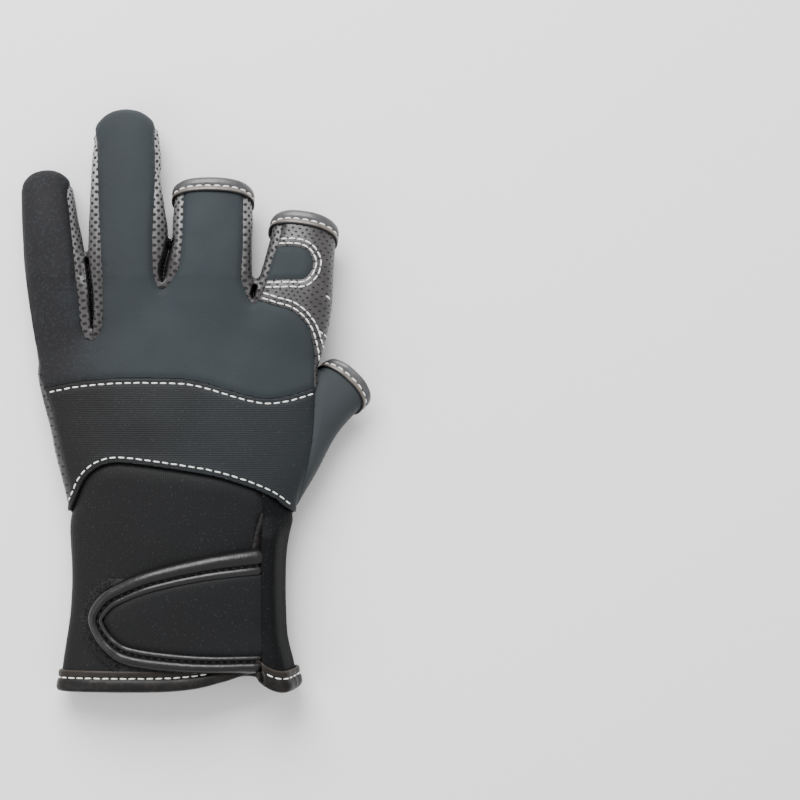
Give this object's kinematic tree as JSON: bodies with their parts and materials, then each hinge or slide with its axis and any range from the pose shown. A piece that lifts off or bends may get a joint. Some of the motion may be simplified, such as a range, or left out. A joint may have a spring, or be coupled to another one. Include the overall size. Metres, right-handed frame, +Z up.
{
  "type": "fishing glove",
  "caption": "Left-hand fishing glove of neoprene and perforated leather, with cut-open bound thumb, index and middle tips and a hook-and-loop wrist strap.",
  "frame": {"origin": "centre of the lying glove's outline, on the surface that it lies on, palm down", "axes": "+X to the thumb side, +Y from the wrist to the fingertips, +Z up out of the back of the hand"},
  "size_m": [0.1382, 0.2278, 0.0287],
  "materials": {
    "back_neoprene": "matt jersey-faced neoprene, dark slate grey",
    "rib_neoprene": "finely ribbed neoprene, near black with a soft sheen",
    "wrist_neoprene": "fine-knit neoprene, black",
    "web_leather": "perforated synthetic leather, light grey with a sheen",
    "leather": "perforated synthetic leather, dark grey, satin",
    "binding": "rolled synthetic leather binding, brown-black, semi-gloss",
    "glossy_binding": "rolled smooth synthetic leather, black, glossy",
    "loop_pile": "fuzzy loop pile, black",
    "thread": "white polyester thread"
  },
  "bodies": {
    "root": {"back_panel": "back_neoprene", "index_wrap": "leather", "index_patch": "back_neoprene", "mid_panel": "rib_neoprene", "web_little_ring": "web_leather", "web_ring_middle": "web_leather", "web_middle_index": "web_leather", "palm_panel": "leather", "wrist_side_strip": "wrist_neoprene", "thumb_back": "back_neoprene", "thumb_palm": "leather", "middle_binding": "binding", "index_binding": "binding", "thumb_binding": "binding", "cuff_binding": "binding", "wrist_panel": "wrist_neoprene", "flap_binding": "binding", "wrist_flap": "wrist_neoprene", "strap": "wrist_neoprene", "strap_binding": "glossy_binding", "loop_patch": "loop_pile", "slit_binding": "binding"}
  },
  "joints": []
}
